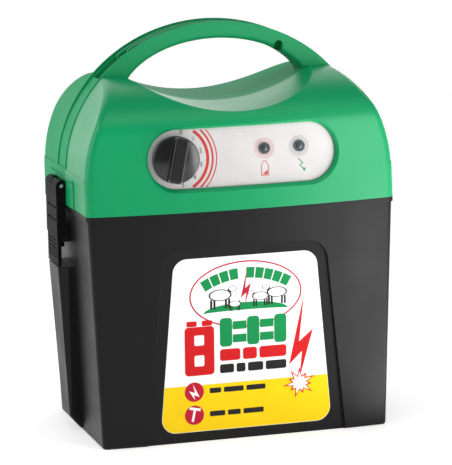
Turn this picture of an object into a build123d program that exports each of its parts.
from build123d import *
import os
from math import asin, atan2, cos, degrees, radians, sin, sqrt

os.makedirs("parts", exist_ok=True)

# Battery fence energizer. Millimetres, +Z up, front towards -Y.
# The origin is on the base plane, under the centre plane of the carry handle.

# ---------------------------------------------------------------- driving dimensions
SEAM_Z = 177.0            # lid meets case
SEAM_GAP = 0.1
HALF_X = 120.0            # half width at the seam
FRONT_Y = -87.0           # middle of the bowed front edge at the seam
FRONT_BOW = 9.5           # how far the middle stands in front of the corners
REAR_Y = 62.0
SHOULDER_Z = 235.0        # where the lid's front and rear start to curve over
SHOULDER_Y = -82.5
ROOF_Z = 272.0            # top of the lid at the handle's faces
ARCH_Z = 200.0            # springing line of the side-to-side arch
ARCH_H = 109.5            # the handle's apex above the springing line
HANDLE_HALF = 13.0        # half the handle's depth along Y
GRIP_HALF_X = 75.0        # elliptical underside of the handle
GRIP_H = 45.5
GRIP_Z = 251.0
SADDLE_R = 130.0          # hollow of the lid under the handle
SADDLE_Z = 249.5
LID_WALL = 3.0
CREASE_Z = 203.5          # the skirt below stands proud of the dome above
CREASE_STEP = 0.6
POCKET_DEPTH = 7.5        # deep pockets in the handle's top, over its roots
POCKET_X = (50.0, 90.0)
R_CORNER = 6.0            # upright corners of the lid

CASE_HALF_X = (112.0, 118.8)      # at the base and under the rim
CASE_CORNER_Y = (-77.5, -76.4)
CASE_BOW = (4.0, 9.4)
CASE_REAR_Y = (58.0, 60.8)
CASE_CORNER_R = (3.5, 4.5)
CASE_FOOT_R = 2.0
RIM_Z = 173.5
LIP_Z = 182.0
FLOOR_T = 3.0

RECESS_TOP_Z = 150.0
RECESS_HALF = (78.0, 63.0)        # at the base and at the top
RECESS_Y = (-76.8, -81.0)
LABEL_Z = (8.0, 141.5)
LABEL_HALF = (67.4, 55.6)
LABEL_T = 0.5

PANEL_Z = 216.4
PANEL_L = 145.6
PANEL_H = 44.2
PANEL_DEPTH = 4.2
PANEL_T = 1.4
POCKET_GAP = 0.2
KNOB_X = -51.7
KNOB_Z = 216.4
KNOB_R = 17.6
KNOB_DOME_R = 62.0                # gently domed skirt
KNOB_DOME_Z = 7.3
KNOB_RIM = 0.6
KNOB_GAP = 0.8                    # between the skirt and the panel
KNOB_REST_DEG = 12.0              # pointer, clockwise from straight up
LED_X = (16.8, 44.3)
LED_Z = 220.9

LATCH_HALF_Y = 17.0
PIN_X = 124.2
PIN_Z = 191.5
PIN_R = 1.4
BARREL_R = 4.4
LUG_R = 3.3               # the lid's lug, in the middle of each latch pin
LUG_HALF_Y = 4.0
LATCH_FACE_X = 128.6
LEVER_FACE_X = 128.2
LATCH_STEP_Z = 153.0
LATCH_END_Z = 130.5
CATCH_Z = (148.0, 160.0)
RAIL_TOP_Z = 129.5
PAD_X = 121.0
PAD_HALF_Y = 39.0
PAD_TOP_Z = 198.0

PLATE_Z = (184.0, 187.0)
BOSS_XY = ((-108, -55), (108, -55), (-108, 42), (108, 42))
BOARD_Z = 196.0
BOARD_T = 1.6
BOARD_X = (-98.0, 22.0)
BOARD_Y = (-44.0, 42.0)
TERMINAL_X = (42.0, 78.0)         # fence, earth
TERMINAL_Z = 208.0
INLET_X = -52.0
INLET_Z = 206.0
INLET_R = 2.75

BATTERY = (190.0, 125.0, 160.0)
BATTERY_Y = -9.0

RUN = 0.05                        # radial running clearance
SWEEP_R = (HALF_X ** 2 + FRONT_BOW ** 2) / (2 * FRONT_BOW)
SWEEP_Y = FRONT_Y + SWEEP_R
LEAN = atan2(SHOULDER_Y - FRONT_Y, SHOULDER_Z - SEAM_Z)


# ---------------------------------------------------------------- helpers
def prism_y(face, y0, y1):
    """Extrude a face drawn in X, Z between two Y values."""
    plane = Plane((0, y1, 0), x_dir=(1, 0, 0), z_dir=(0, -1, 0))
    return extrude(plane * face, amount=y1 - y0)


def block(x, y, z):
    """Box between (low, high) pairs."""
    size = (x[1] - x[0], y[1] - y[0], z[1] - z[0])
    return Pos(x[0], y[0], z[0]) * Box(*size, align=(Align.MIN, Align.MIN, Align.MIN))


def rod_y(x, z, r, y0, y1):
    """Cylinder along Y."""
    return prism_y(Pos(x, z) * Circle(r), y0, y1)


def plan(half_x, corner_y, bow, rear_y, r_front, r_rear):
    """Plan outline with a bowed front edge and rounded corners."""
    edge = ThreePointArc((-half_x, corner_y), (0, corner_y - bow), (half_x, corner_y))
    sides = Polyline((half_x, corner_y), (half_x, rear_y), (-half_x, rear_y), (-half_x, corner_y))
    face = make_face(edge + sides)
    face = fillet([v for v in face.vertices() if v.Y < 0], r_front)
    return fillet([v for v in face.vertices() if v.Y > rear_y - 1], r_rear)


def seam_plan(inset):
    """The lid's outline at the seam, moved inwards."""
    corner = FRONT_Y + FRONT_BOW + inset
    return plan(HALF_X - inset, corner, FRONT_BOW, REAR_Y - inset, R_CORNER - inset, R_CORNER - inset)


def slab(face, z0, z1):
    return extrude(Pos(0, 0, z0) * face, amount=z1 - z0)


def mirror_x(shape):
    return mirror(shape, Plane.YZ)


def one(shape):
    """A single solid from a boolean result."""
    solids = shape.solids()
    return solids[0] if len(solids) == 1 else Compound(children=list(solids))


PARTS = {}


def keep(name, shape, colour):
    shape = one(shape)
    shape.label = name
    shape.color = Color(*colour)
    PARTS[name] = shape


# ---------------------------------------------------------------- lid surfaces
def arch_face(inset, rise=0.0):
    """Side-to-side outline: straight sides under half an ellipse."""
    a = HALF_X - inset
    b = ARCH_H - inset - rise
    top = EllipticalCenterArc((0, ARCH_Z), a, b, 0, arc_size=180)
    foot = SEAM_Z - 20
    return make_face(top + Polyline((-a, ARCH_Z), (-a, foot), (a, foot), (a, ARCH_Z)))


def front_body(inset):
    """Everything behind the leaning, bowed front, swept about a far vertical axis."""
    a = -HANDLE_HALF - SHOULDER_Y - inset
    b = ROOF_Z - SHOULDER_Z - inset
    foot_z = SEAM_Z - 20
    top_y = SHOULDER_Y + inset
    foot_y = top_y - (SHOULDER_Z - foot_z) * sin(LEAN) / cos(LEAN)
    roof = ROOF_Z - inset
    arc = EllipticalCenterArc((-HANDLE_HALF, SHOULDER_Z), a, b, 90, arc_size=90)
    rest = Polyline((-HANDLE_HALF, roof), (90, roof), (90, foot_z), (foot_y, foot_z), (top_y, SHOULDER_Z))
    axis = Axis((0, SWEEP_Y, 0), (0, 0, 1))
    return revolve(make_face(Plane.YZ * (arc + rest)).rotate(axis, -12), axis, 24)


def rear_body(inset):
    """Everything in front of the rear wall, which curves over to the handle."""
    a = REAR_Y - HANDLE_HALF - inset
    b = ROOF_Z - SHOULDER_Z - inset
    foot_z = SEAM_Z - 20
    rear = REAR_Y - inset
    roof = ROOF_Z - inset
    arc = EllipticalCenterArc((HANDLE_HALF, SHOULDER_Z), a, b, 0, arc_size=90)
    rest = Polyline((HANDLE_HALF, roof), (-150, roof), (-150, foot_z), (rear, foot_z), (rear, SHOULDER_Z))
    plane = Plane((-130, 0, 0), x_dir=(0, 1, 0), z_dir=(1, 0, 0))
    return extrude(plane * make_face(arc + rest), amount=260)


def dome(side_inset, inset, low_z, high_z=300):
    """The lid without its handle, moved inwards. The rounding runs on over the roof to the rear corners."""
    body = prism_y(arch_face(side_inset), -120, 90) & front_body(inset) & rear_body(inset)
    body = body & block((-150, 150), (-150, 150), (low_z, high_z))
    corners = [e for e in body.edges() if abs((e @ 0.5).X) > 60 and low_z + 1 < (e @ 0.5).Z < high_z - 1]
    front = [e for e in corners if (e @ 0.5).Y < -30]
    rear = [e for e in corners if (e @ 0.5).Y > 30] if high_z < SHOULDER_Z else []
    return fillet(front + rear, R_CORNER - inset)


def stadium(length, height, x=0.0, z=PANEL_Z):
    return Pos(x, z) * SlotOverall(length, height)


def face_plane(x, z, depth):
    """Plane on the front, moved inwards by depth: X right, Y up, Z out of the lid."""
    radius = SWEEP_R - depth
    turn = asin(x / radius)
    middle = FRONT_Y + depth + (z - SEAM_Z) * sin(LEAN) / cos(LEAN)
    y = middle + radius - sqrt(radius ** 2 - x ** 2)
    normal = (sin(turn) * cos(LEAN), -cos(turn) * cos(LEAN), sin(LEAN))
    return Plane((x, y, z), x_dir=(cos(turn), sin(turn), 0), z_dir=normal)


def tube(r_out, r_in, z0, z1):
    ring = Circle(r_out) - Circle(r_in) if r_in else Circle(r_out)
    return slab(ring, z0, z1)


# ---------------------------------------------------------------- battery case
def rail(side):
    """Tapered block down the side of the case, under the latch."""
    def section(z, face_x, half_y, cut_x, cut_y):
        x = side * face_x
        inner = side * 106
        pts = [(inner, -half_y - cut_y), (x - side * cut_x, -half_y - cut_y), (x, -half_y),
               (x, half_y), (x - side * cut_x, half_y + cut_y), (inner, half_y + cut_y)]
        return Pos(0, 0, z) * make_face(Polyline(*pts, close=True))
    foot = section(2, 113.2, 11.5, 1.5, 1)
    ankle = section(12, 121.6, 12, 1.5, 1)
    head = section(RAIL_TOP_Z, LEVER_FACE_X, 15, 7, 3.5)
    return loft([foot, ankle], ruled=True) + loft([ankle, head], ruled=True)


def recess_plane():
    rise = RECESS_Y[1] - RECESS_Y[0]
    return Plane((0, RECESS_Y[0], 0), x_dir=(1, 0, 0), z_dir=(0, -RECESS_TOP_Z, rise))


def trapezoid(z0, z1, half0, half1):
    return make_face(Polyline((-half0, z0), (half0, z0), (half1, z1), (-half1, z1), close=True))


def make_case():
    low = plan(CASE_HALF_X[0], CASE_CORNER_Y[0], CASE_BOW[0], CASE_REAR_Y[0], *[CASE_CORNER_R[0]] * 2)
    high = plan(CASE_HALF_X[1], CASE_CORNER_Y[1], CASE_BOW[1], CASE_REAR_Y[1], *[CASE_CORNER_R[1]] * 2)
    outer = loft([low, Pos(0, 0, RIM_Z) * high])
    outer = fillet(outer.edges().group_by(Axis.Z)[0], CASE_FOOT_R)
    skin = outer
    outer = outer + rail(-1) + rail(1)
    outer = outer + slab(seam_plan(0), RIM_Z, SEAM_Z) + slab(seam_plan(3.7), SEAM_Z, LIP_Z)
    cavity_low = plan(108.8, -72.0, 3.0, 54.8, 2, 2)
    cavity_high = plan(113.8, -72.6, 8.2, 56.0, 2, 2)
    cavity = loft([Pos(0, 0, FLOOR_T) * cavity_low, Pos(0, 0, LIP_Z + 1) * cavity_high])
    recess = trapezoid(-5, RECESS_TOP_Z, RECESS_HALF[0] + 0.5, RECESS_HALF[1])
    recess = fillet([v for v in recess.vertices() if v.Y > 0], 17)
    recess = extrude(recess_plane() * recess, amount=20)
    rebate = slab(seam_plan(0.9) - seam_plan(3.5), SEAM_Z - 1, SEAM_Z + 0.01)
    return outer - cavity - recess - rebate, skin


case, case_skin = make_case()
BLACK = (0.03, 0.03, 0.035)
keep("battery_case", case, BLACK)
keep("case_seal", slab(seam_plan(1.0) - seam_plan(3.4), SEAM_Z - 1, SEAM_Z), (0.1, 0.1, 0.1))

label = trapezoid(LABEL_Z[0], LABEL_Z[1], LABEL_HALF[0], LABEL_HALF[1])
label = fillet(label.vertices(), 11)
keep("front_label", extrude(recess_plane() * label, amount=LABEL_T), (0.95, 0.95, 0.93))


def make_catch(side):
    """Snap tongue on the case wall, with the ledge that the latch hooks under."""
    x0, x1 = sorted((side * 110.0, side * 124.6))
    tongue = block((x0, x1), (-12.5, 12.5), CATCH_Z)
    wedge = make_face(Polyline((side * 125, CATCH_Z[1] - 5), (side * 125, CATCH_Z[1] + 1),
                               (side * 120.5, CATCH_Z[1] + 1), close=True))
    return tongue - prism_y(wedge, -14, 14) - case_skin - slab(Rectangle(232, 200), 140, 170)


keep("catch_tongue_left", make_catch(-1), BLACK)
keep("catch_tongue_right", make_catch(1), BLACK)

bx, by, bz = BATTERY
battery = Pos(0, BATTERY_Y, FLOOR_T + bz / 2) * Box(bx, by, bz)
battery = fillet(battery.edges().filter_by(Axis.Z), 6)
band = Pos(0, BATTERY_Y, FLOOR_T + bz - 14) * (Box(bx + 1, by + 1, 1.6) - Box(bx - 1, by - 1, 3))
keep("dry_battery", battery - band, (0.12, 0.14, 0.3))
for name, x in (("battery_terminal_positive", 62.0), ("battery_terminal_negative", -62.0)):
    top = FLOOR_T + bz
    post = tube(11, 0, top, top + 1.5) + tube(8, 0, top + 1.5, top + 6)
    keep(name, Pos(x, BATTERY_Y, 0) * chamfer(post.edges().group_by(Axis.Z)[-1], 1), (0.8, 0.65, 0.3))


# ---------------------------------------------------------------- lid with its handle
def saddle_region(radius):
    return Pos(0, SADDLE_Z + SADDLE_R) * Circle(radius)


def grip_region():
    return Pos(0, GRIP_Z) * Ellipse(GRIP_HALF_X, GRIP_H)


def root_zone(face, half_y, margin):
    """The part of a prism that lies over the two roots of the handle."""
    x0, x1 = POCKET_X
    low = ROOF_Z - 45
    zone = block((x0 - margin, x1 + margin), (-half_y, half_y), (low, 340))
    return prism_y(face, -half_y, half_y) & (zone + mirror_x(zone))


def handle_top():
    """Channel along the handle's top, a deep pocket at each root and three ribs between them."""
    tools = prism_y(arch_face(-20) - arch_face(0.8, 2.5), -11.4, 11.4)
    tools = tools & block((-150, 150), (-20, 20), (204, 340))
    pocket = root_zone(arch_face(-20) - arch_face(POCKET_DEPTH), 10, 0)
    ribs = []
    for y in (-6.4, 0.0, 6.4):
        bar = prism_y(arch_face(1.2) - arch_face(8.5), y - 1.6, y + 1.6)
        ribs.append(bar & block((-66 - y, 66 + y), (-20, 20), (230, 340)))
    return tools + pocket, ribs


def latch_pad(side):
    x0, x1 = sorted((side * 118.5, side * PAD_X))
    pad = block((x0, x1), (-PAD_HALF_Y, PAD_HALF_Y), (SEAM_Z + SEAM_GAP, PAD_TOP_Z))
    top = [e for e in pad.edges().filter_by(Axis.X) if (e @ 0.5).Z > PAD_TOP_Z - 1]
    return fillet(top, 5)


def make_lid():
    bottom = SEAM_Z + SEAM_GAP
    body = dome(CREASE_STEP, 0, bottom) + dome(0, 0.05, bottom, CREASE_Z)
    arch = prism_y(arch_face(0), -HANDLE_HALF, HANDLE_HALF) & block((-150, 150), (-50, 50), (bottom, 340))
    body = body + arch
    body = body - prism_y(saddle_region(SADDLE_R) & grip_region(), -120, 90)
    front_half = prism_y(saddle_region(SADDLE_R), -120, -HANDLE_HALF)
    rear_half = prism_y(saddle_region(SADDLE_R), HANDLE_HALF, 90)
    near = block((-78, 78), (-120, 90), (240, 300))
    body = body - ((front_half + rear_half) & near)
    under = [e for e in body.edges() if abs(abs((e @ 0.5).Y) - HANDLE_HALF) < 0.01
             and abs((e @ 0.5).X) < 5 and 290 < (e @ 0.5).Z < 299]
    body = fillet(under, 3.5)

    channel, ribs = handle_top()
    body = body - channel
    for bar in ribs:
        body = body + bar

    cavity = dome(LID_WALL, LID_WALL, bottom - 1) - prism_y(saddle_region(SADDLE_R + LID_WALL), -120, 90)
    seat = prism_y(stadium(PANEL_L + 8, PANEL_H + 8), -120, -40)
    cavity = cavity - (seat - front_body(PANEL_DEPTH + PANEL_T + LID_WALL))
    below_pockets = arch_face(-20) - arch_face(POCKET_DEPTH + LID_WALL)
    cavity = cavity - root_zone(below_pockets, HANDLE_HALF, LID_WALL)
    for x, y in BOSS_XY:
        cavity = cavity - Pos(x, y, 0) * tube(4.5, 0, PLATE_Z[1], 260)
    body = body - cavity

    pocket = prism_y(stadium(PANEL_L + 2 * POCKET_GAP, PANEL_H + 2 * POCKET_GAP), -120, -40)
    pocket = pocket - front_body(PANEL_DEPTH + PANEL_T)
    body = body - pocket
    rim = [e for e in body.edges() if (e @ 0.5).Y < -79 and 190 < (e @ 0.5).Z < 240 and is_pocket_rim(e)]
    body = chamfer(rim, 2.2)

    body = body + latch_pad(-1) + latch_pad(1)
    for side in (-1, 1):
        body = body - rod_y(side * PIN_X, PIN_Z, BARREL_R + 0.35, -LATCH_HALF_Y - 0.5, LATCH_HALF_Y + 0.5)
        x0, x1 = sorted((side * 118.5, side * PIN_X))
        lug = block((x0, x1), (-LUG_HALF_Y, LUG_HALF_Y), (PIN_Z - LUG_R, PIN_Z + 1))
        lug = lug + rod_y(side * PIN_X, PIN_Z, LUG_R, -LUG_HALF_Y, LUG_HALF_Y)
        body = body + lug - rod_y(side * PIN_X, PIN_Z, PIN_R, -LUG_HALF_Y - 1, LUG_HALF_Y + 1)

    for x, y in BOSS_XY:
        body = body - Pos(x, y, 0) * tube(1.75, 0, PLATE_Z[1] - 1, PLATE_Z[1] + 14)
    lock = Pos(50, 287) * Rectangle(6.5, 4.5) + Pos(50, 289.25) * Circle(3.25)
    body = body - prism_y(lock, -20, -4)
    for x in TERMINAL_X:
        body = body - rod_y(x, TERMINAL_Z, 3.0, 50, 70)
    body = body - rod_y(INLET_X, INLET_Z, 6.0, 50, 70)
    body = body - (face_plane(KNOB_X, KNOB_Z, PANEL_DEPTH) * tube(4.8, 0, -12, 0))
    for x in LED_X:
        body = body - (face_plane(x, LED_Z, PANEL_DEPTH) * tube(3.8, 0, -12, 0))
    return body


def is_pocket_rim(edge):
    """True for edges of the panel pocket that lie on the lid's outer surface."""
    p = edge @ 0.5
    radius = SWEEP_R
    middle = FRONT_Y + (p.Z - SEAM_Z) * sin(LEAN) / cos(LEAN)
    on_skin = abs(p.Y - (middle + radius - sqrt(radius ** 2 - p.X ** 2))) < 0.05
    return on_skin and abs(p.X) < 80 and abs(p.Z - PANEL_Z) < PANEL_H


GREEN = (0.0, 0.45, 0.22)
lid = make_lid()
# The handle's bridge is a piece of its own, split off along the hollow of the lid.
bridge = prism_y(saddle_region(SADDLE_R), -HANDLE_HALF - 1, HANDLE_HALF + 1)
keep("lid_shell", lid - bridge, GREEN)
keep("carry_handle", lid & bridge, GREEN)

# ---------------------------------------------------------------- control panel
panel = prism_y(stadium(PANEL_L, PANEL_H), -120, -40)
panel = panel & (front_body(PANEL_DEPTH) - front_body(PANEL_DEPTH + PANEL_T))
knob_plane = face_plane(KNOB_X, KNOB_Z, PANEL_DEPTH)
panel = panel - knob_plane * tube(4.8, 0, -12, 12)
led_planes = [face_plane(x, LED_Z, PANEL_DEPTH) for x in LED_X]
for plane in led_planes:
    panel = panel - plane * tube(3.6, 0, -12, 12)
keep("control_panel", panel, (0.92, 0.92, 0.92))

# ---------------------------------------------------------------- control knob and its switch
BEHIND = -(PANEL_T + LID_WALL) - 0.3
skirt = tube(KNOB_R, 0, KNOB_GAP, KNOB_DOME_Z + 1)
skirt = skirt & (Pos(0, 0, KNOB_DOME_Z - KNOB_DOME_R) * Sphere(KNOB_DOME_R))
rim = [e for e in skirt.edges().filter_by(GeomType.CIRCLE) if abs(e.radius - KNOB_R) < 0.01]
skirt = chamfer([e for e in rim if e.center().Z > KNOB_GAP + 1], KNOB_RIM)
bar = Pos(0, 0, 10) * Box(10.4, 2 * KNOB_R - 1.2, 11.6)
bar = fillet(bar.edges().filter_by(Axis.Z), 3) & tube(KNOB_R - 0.4, 0, 4, 15.8)
bar = fillet(bar.edges().group_by(Axis.Z)[-1], 1.4)
knob = Rot(0, 0, -KNOB_REST_DEG) * (skirt + bar)
knob = knob - tube(8.6, 0, 0, 4) - tube(3.0, 0, 3, 12)
keep("control_knob", knob_plane * knob, BLACK)
keep("switch_shaft", knob_plane * tube(3.0, 0, -14, 12), (0.7, 0.7, 0.72))
switch = tube(12, 3.0 + RUN, BEHIND - 11, BEHIND) + tube(4.4, 3.0 + RUN, BEHIND, 3.4)
switch = switch + tube(12, 0, BEHIND - 12.5, BEHIND - 11)
for turn in (-30, 0, 30):
    leg = Rot(0, 0, turn) * block((-0.8, 0.8), (-11, -9.5), (BEHIND - 19.1, BEHIND - 12.5))
    switch = switch + leg
keep("rotary_switch", knob_plane * switch, (0.35, 0.36, 0.38))
nut = slab(RegularPolygon(7, 6) - Circle(4.4), 0, 2.3)
keep("switch_nut", knob_plane * nut, (0.75, 0.75, 0.76))

led_tints = {"battery_led": (0.5, 0.1, 0.1), "pulse_led": (0.1, 0.4, 0.15)}
lens_cap = Sphere(2.5) & Box(6, 6, 3, align=(Align.CENTER, Align.CENTER, Align.MIN))
for (name, tint), plane in zip(led_tints.items(), led_planes):
    lens = tube(2.5, 0, -6, 0.6) + Pos(0, 0, 0.6) * lens_cap
    for x in (-1.27, 1.27):
        lens = lens + Pos(x, 0, 0) * tube(0.3, 0, -23.4, -6)
    keep(name, plane * lens, tint)
bezels = [plane * (tube(4.3, 2.5, 0, 0.9) + tube(3.6, 2.5, -5.2, 0)) for plane in led_planes]
keep("led_bezels", bezels[0] + bezels[1], (0.3, 0.34, 0.38))

front_board_plane = face_plane(0, PANEL_Z, PANEL_DEPTH)
front_board = front_board_plane * slab(Rectangle(124, 34), -27.5, -25.9)
keep("front_board", front_board, (0.05, 0.3, 0.12))

# ---------------------------------------------------------------- latches and their pins
def make_latch(side):
    def xs(a, b):
        return tuple(sorted((side * a, side * b)))
    cheek = (LATCH_STEP_Z, PIN_Z)
    body = block(xs(121.5, LATCH_FACE_X), (-LATCH_HALF_Y, LATCH_HALF_Y), cheek)
    body = body + rod_y(side * PIN_X, PIN_Z, BARREL_R, -LATCH_HALF_Y, LATCH_HALF_Y)
    body = body - block(xs(120, 126.4), (-14.6, 14.6), (LATCH_STEP_Z - 1, PIN_Z - 5))
    lever = block(xs(125.4, LEVER_FACE_X), (-16.2, 16.2), (LATCH_END_Z, LATCH_STEP_Z + 4))
    hook = block(xs(121.3, 126), (-9, 9), (CATCH_Z[0] - 4.2, CATCH_Z[0] - 0.2))
    body = body + lever + hook
    for z in (174.5, 164.5):
        body = body - block(xs(LATCH_FACE_X - 0.9, 131), (-18, 11), (z, z + 1.5))
    for step in range(5):
        z = 136 + 3.2 * step
        body = body - block(xs(LEVER_FACE_X - 0.7, 131), (-12, 12), (z, z + 1.4))
    # Room for the lid's lug: round it, and open towards the lid through the whole swing.
    half = LUG_HALF_Y + 0.4
    sweep = [(0, 0), (3.27, 5.03), (3.27, 7), (-7, 7), (-7, -LUG_R - 0.35), (-1.33, -LUG_R - 0.35)]
    sector = make_face(Polyline(*[(side * (PIN_X + u), PIN_Z + w) for u, w in sweep], close=True))
    body = body - prism_y(sector, -half, half) - rod_y(side * PIN_X, PIN_Z, LUG_R + 0.25, -half, half)
    body = body - block(xs(126, 131), (-1.0, 1.0), (PIN_Z + 0.7, PIN_Z + 3.2))
    return body - rod_y(side * PIN_X, PIN_Z, PIN_R + RUN, -20, 20)


for name, side in (("left", -1), ("right", 1)):
    keep("latch_" + name, make_latch(side), BLACK)
    keep("latch_pin_" + name, rod_y(side * PIN_X, PIN_Z, PIN_R, -16.5, 16.5), (0.7, 0.7, 0.72))

# ---------------------------------------------------------------- electronics tray
tray = dome(LID_WALL + 0.5, LID_WALL + 0.5, SEAM_Z) & block((-150, 150), (-150, 150), PLATE_Z)
posts = [(x, y) for x in (BOARD_X[0] + 6, BOARD_X[1] - 6) for y in (BOARD_Y[0] + 6, BOARD_Y[1] - 6)]
for x, y in posts:
    tray = tray + Pos(x, y, 0) * tube(3.6, 1.4, PLATE_Z[1] - 1, BOARD_Z)
for x, y in BOSS_XY:
    tray = tray - Pos(x, y, 0) * tube(2.0, 0, PLATE_Z[0] - 1, PLATE_Z[1] + 1)
keep("electronics_tray", tray, (0.08, 0.08, 0.09))

tray_screws = []
for x, y in BOSS_XY:
    screw = tube(3.6, 0, PLATE_Z[0] - 1.7, PLATE_Z[0]) + tube(1.75, 0, PLATE_Z[0], PLATE_Z[1] + 11)
    slot = block((-0.5, 0.5), (-4, 4), (PLATE_Z[0] - 2, PLATE_Z[0] - 0.9))
    tray_screws.append(Pos(x, y, 0) * (screw - slot))
keep("tray_screws", Compound(children=tray_screws), (0.72, 0.72, 0.74))

board = block(BOARD_X, BOARD_Y, (BOARD_Z, BOARD_Z + BOARD_T))
for x, y in posts:
    board = board - Pos(x, y, 0) * tube(1.7, 0, BOARD_Z - 1, BOARD_Z + 3)
keep("main_board", board, (0.05, 0.3, 0.12))
top = BOARD_Z + BOARD_T
board_screw = tube(2.9, 0, top, top + 2) + tube(1.4, 0, BOARD_Z - 7, top)
board_screws = [Pos(x, y, 0) * board_screw for x, y in posts]
keep("board_screws", Compound(children=board_screws), (0.72, 0.72, 0.74))

caps = []
for x in (-70.0, -38.0):
    can = fillet(tube(13, 0, top, top + 38).edges(), 1.2)
    caps.append(Pos(x, 18, 0) * can)
keep("storage_capacitors", Compound(children=caps), (0.2, 0.25, 0.45))

sink = Pos(4, 14, top + 13) * Box(20, 12, 26)
for step in range(4):
    sink = sink - block((-4.5 + 5 * step, -2 + 5 * step), (15, 21), (top - 1, top + 30))
keep("heat_sink", sink, (0.7, 0.7, 0.72))
keep("thyristor", block((-1, 9), (3.5, 8), (top, top + 16)), (0.05, 0.05, 0.05))

# Pulse transformer: laminated core with a coil on its middle limb.
tx, ty = 66.0, -4.0
tz = PLATE_Z[1]
core = block((-28, 28), (-12, 12), (0, 46))
for side in (-1, 1):
    x0, x1 = sorted((side * 8.0, side * 20.0))
    core = core - block((x0, x1), (-13, 13), (8, 38))
keep("transformer_core", Pos(tx, ty, tz) * core, (0.35, 0.35, 0.37))
coil = block((-19, 19), (-22, 22), (8.5, 37.5))
coil = fillet(coil.edges().filter_by(Axis.Z), 4) - block((-8, 8), (-12, 12), (0, 46))
keep("transformer_coil", Pos(tx, ty, tz) * coil, (0.6, 0.3, 0.12))

# ---------------------------------------------------------------- rear terminals and adapter inlet
knob_tints = ((0.7, 0.05, 0.05), (0.05, 0.05, 0.05))
for name, x, tint in zip(("fence", "earth"), TERMINAL_X, knob_tints):
    stud = rod_y(x, TERMINAL_Z, 3.0, 48, 81) + rod_y(x, TERMINAL_Z, 6, 56.8, 58.9)
    keep(name + "_stud", stud, (0.75, 0.75, 0.77))
    grip = rod_y(x, TERMINAL_Z, 9, 68.5, 80)
    for step in range(12):
        turn = radians(30 * step)
        grip = grip - rod_y(x + 9.6 * cos(turn), TERMINAL_Z + 9.6 * sin(turn), 1.6, 68, 81)
    keep(name + "_terminal_knob", grip - rod_y(x, TERMINAL_Z, 3.0 + RUN, 68, 81), tint)
collars = [rod_y(x, TERMINAL_Z, 8, 62, 65.5) - rod_y(x, TERMINAL_Z, 3.0, 60, 70) for x in TERMINAL_X]
keep("terminal_collars", Compound(children=[one(c) for c in collars]), BLACK)

socket = rod_y(INLET_X, INLET_Z, 6.0, 50.5, 62) + rod_y(INLET_X, INLET_Z, 8.5, 62, 64)
socket = socket - rod_y(INLET_X, INLET_Z, INLET_R, 54, 70) - rod_y(INLET_X, INLET_Z, 2.0, 51.5, 54)
socket = socket + rod_y(INLET_X, INLET_Z, 0.8, 51, 53.4)
keep("adapter_socket", socket, BLACK)


for name, shape in PARTS.items():
    export_step(shape, "parts/" + name + ".step")
